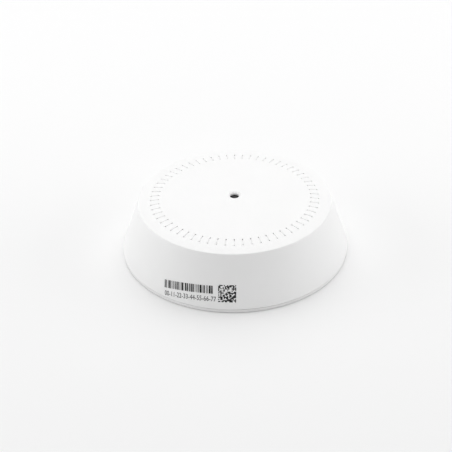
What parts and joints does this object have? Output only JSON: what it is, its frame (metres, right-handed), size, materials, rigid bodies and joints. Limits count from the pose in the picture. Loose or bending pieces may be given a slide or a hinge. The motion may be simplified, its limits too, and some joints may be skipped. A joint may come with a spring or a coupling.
{
  "type": "ceiling access point",
  "caption": "White tapered drum with a vent ring and a dark status window on its shallow domed face, on a twist-lock ceiling bracket, with a pocketed Ethernet jack at the back.",
  "frame": {"origin": "on the drum's axis, in the plane of the ceiling side of the bracket", "axes": "+Z is the drum's axis and points into the room, -Y is the side with the printed codes, and the Ethernet socket looks towards -X"},
  "size_m": [0.1594, 0.1596, 0.042],
  "materials": {
    "shell": "fine satin moulded white",
    "tray": "matte moulded white",
    "bracket": "matte moulded off-white",
    "board": "green solder mask",
    "black_plastic": "matte black",
    "pad": "soft grey-blue thermal pad",
    "aluminium": "plain cast aluminium",
    "tin": "tinned sheet",
    "led": "clear lens over pale phosphor",
    "smoke": "dark smoked clear plastic",
    "gold": "gold flash",
    "ferrite": "dull dark grey ferrite",
    "screw_steel": "zinc plated"
  },
  "bodies": {
    "housing": {"top_cover": "shell", "base_tray": "tray", "main_board": "board", "processor_chip": "black_plastic", "thermal_pad": "pad", "heat_spreader": "aluminium", "radio_shield_1": "tin", "radio_shield_2": "tin", "status_led": "led", "light_pipe": "smoke", "ethernet_jack": "tin", "ethernet_contacts": "gold", "ethernet_magnetics": "black_plastic", "poe_transformer": "ferrite", "power_inductor": "ferrite", "bulk_capacitor_1": "aluminium", "bulk_capacitor_2": "aluminium", "reset_switch": "black_plastic", "antenna_1": "tin", "antenna_2": "tin", "antenna_3": "tin", "antenna_4": "tin", "board_screw_1": "screw_steel", "board_screw_2": "screw_steel", "board_screw_3": "screw_steel", "board_screw_4": "screw_steel", "cover_screw_1": "screw_steel", "cover_screw_2": "screw_steel", "cover_screw_3": "screw_steel", "cover_screw_4": "screw_steel"},
    "bracket": {"ceiling_bracket": "bracket"},
    "reset": {"reset_button": "black_plastic"}
  },
  "joints": [
    {"name": "bracket_twist", "type": "hinge", "parent": "housing", "child": "bracket", "pos_m": [0, 0, 0], "axis": [0, 0, 1], "range_deg": [-20, 0]},
    {"name": "reset_press", "type": "slide", "parent": "housing", "child": "reset", "axis": [0, 1, 0], "range_m": [0, 0.0006], "stiffness_N_per_m": 400, "springref_m": -0.003}
  ]
}
